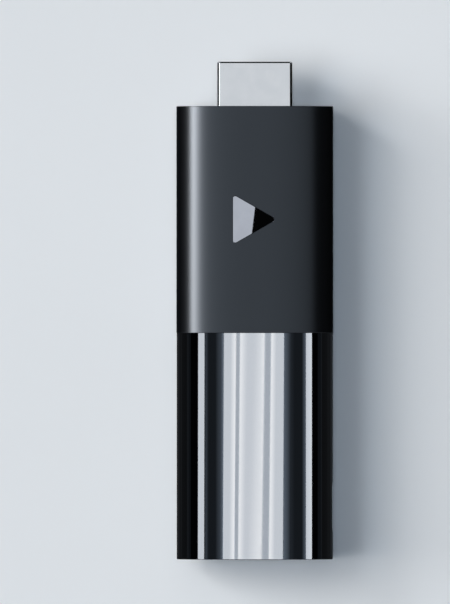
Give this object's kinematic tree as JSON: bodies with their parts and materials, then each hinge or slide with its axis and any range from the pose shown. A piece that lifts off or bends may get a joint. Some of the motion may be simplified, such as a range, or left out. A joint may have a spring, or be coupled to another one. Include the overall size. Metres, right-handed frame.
{
  "type": "streaming media player",
  "caption": "Flat rounded stick with a video plug at one end and a power inlet in its side; the casing is matt towards the plug and glossy behind.",
  "frame": {"origin": "centre of the underside, in the plane it rests on", "axes": "+X across the width towards the power inlet, +Y along the length towards the video plug, +Z out of the face with the emblem"},
  "size_m": [0.0292, 0.0924, 0.0152],
  "materials": {
    "casing_matte": "fine satin, dark grey",
    "casing_gloss": "polished black",
    "emblem_metal": "polished",
    "plug_steel": "satin nickel",
    "contact_gold": "gold flash",
    "connector_plastic": "moulded, black",
    "board_laminate": "green solder mask over copper",
    "copper": "tinned copper",
    "chip_epoxy": "matt moulding compound",
    "shield_tin": "tinned sheet",
    "thermal_pad": "soft silicone",
    "heat_spreader": "bead blasted",
    "frame_plastic": "glass-filled moulding",
    "ceramic_body": "matt, fired",
    "resistor_body": "matt",
    "tantalum_body": "moulded, amber",
    "ferrite": "matt, dark grey",
    "screw_steel": "zinc plated",
    "foam": "closed-cell foam",
    "silicone": "dark grey silicone",
    "adhesive": "thin adhesive film",
    "light_pipe": "clear, polished",
    "led_body": "white with a phosphor window"
  },
  "bodies": {
    "root": {"matte_casing": "casing_matte", "gloss_casing": "casing_gloss", "emblem_inlay": "emblem_metal", "emblem_tape": "adhesive", "plug_shell": "plug_steel", "plug_insulator": "connector_plastic", "plug_upper_contacts": "contact_gold", "plug_lower_contacts": "contact_gold", "plug_rear_block": "connector_plastic", "plug_gasket": "silicone", "inlet_shell": "plug_steel", "inlet_tongue": "connector_plastic", "inlet_contacts": "contact_gold", "main_board": "board_laminate", "upper_frame": "frame_plastic", "lower_frame": "frame_plastic", "front_heat_spreader": "heat_spreader", "rear_heat_spreader": "heat_spreader", "rear_screws": "screw_steel", "front_screws": "screw_steel", "shield_fence": "shield_tin", "shield_lid": "shield_tin", "radio_module": "board_laminate", "radio_can": "shield_tin", "board_antenna": "copper", "led_chip": "led_body", "light_pipe": "light_pipe", "end_cushion": "foam", "soc_thermal_pad": "thermal_pad", "shield_thermal_pad": "thermal_pad", "memory_thermal_pad": "thermal_pad", "front_gap_pad": "thermal_pad", "rear_gap_pad": "thermal_pad", "processor_chip": "chip_epoxy", "memory_chips": "chip_epoxy", "storage_chip": "chip_epoxy", "system_crystal": "shield_tin", "power_inductors": "ferrite", "voltage_regulators": "chip_epoxy", "bulk_capacitors": "tantalum_body", "ceramic_capacitors": "ceramic_body", "chip_resistors": "resistor_body", "signal_chokes": "ferrite", "surge_arrays": "chip_epoxy", "test_pads": "contact_gold"}
  },
  "joints": []
}
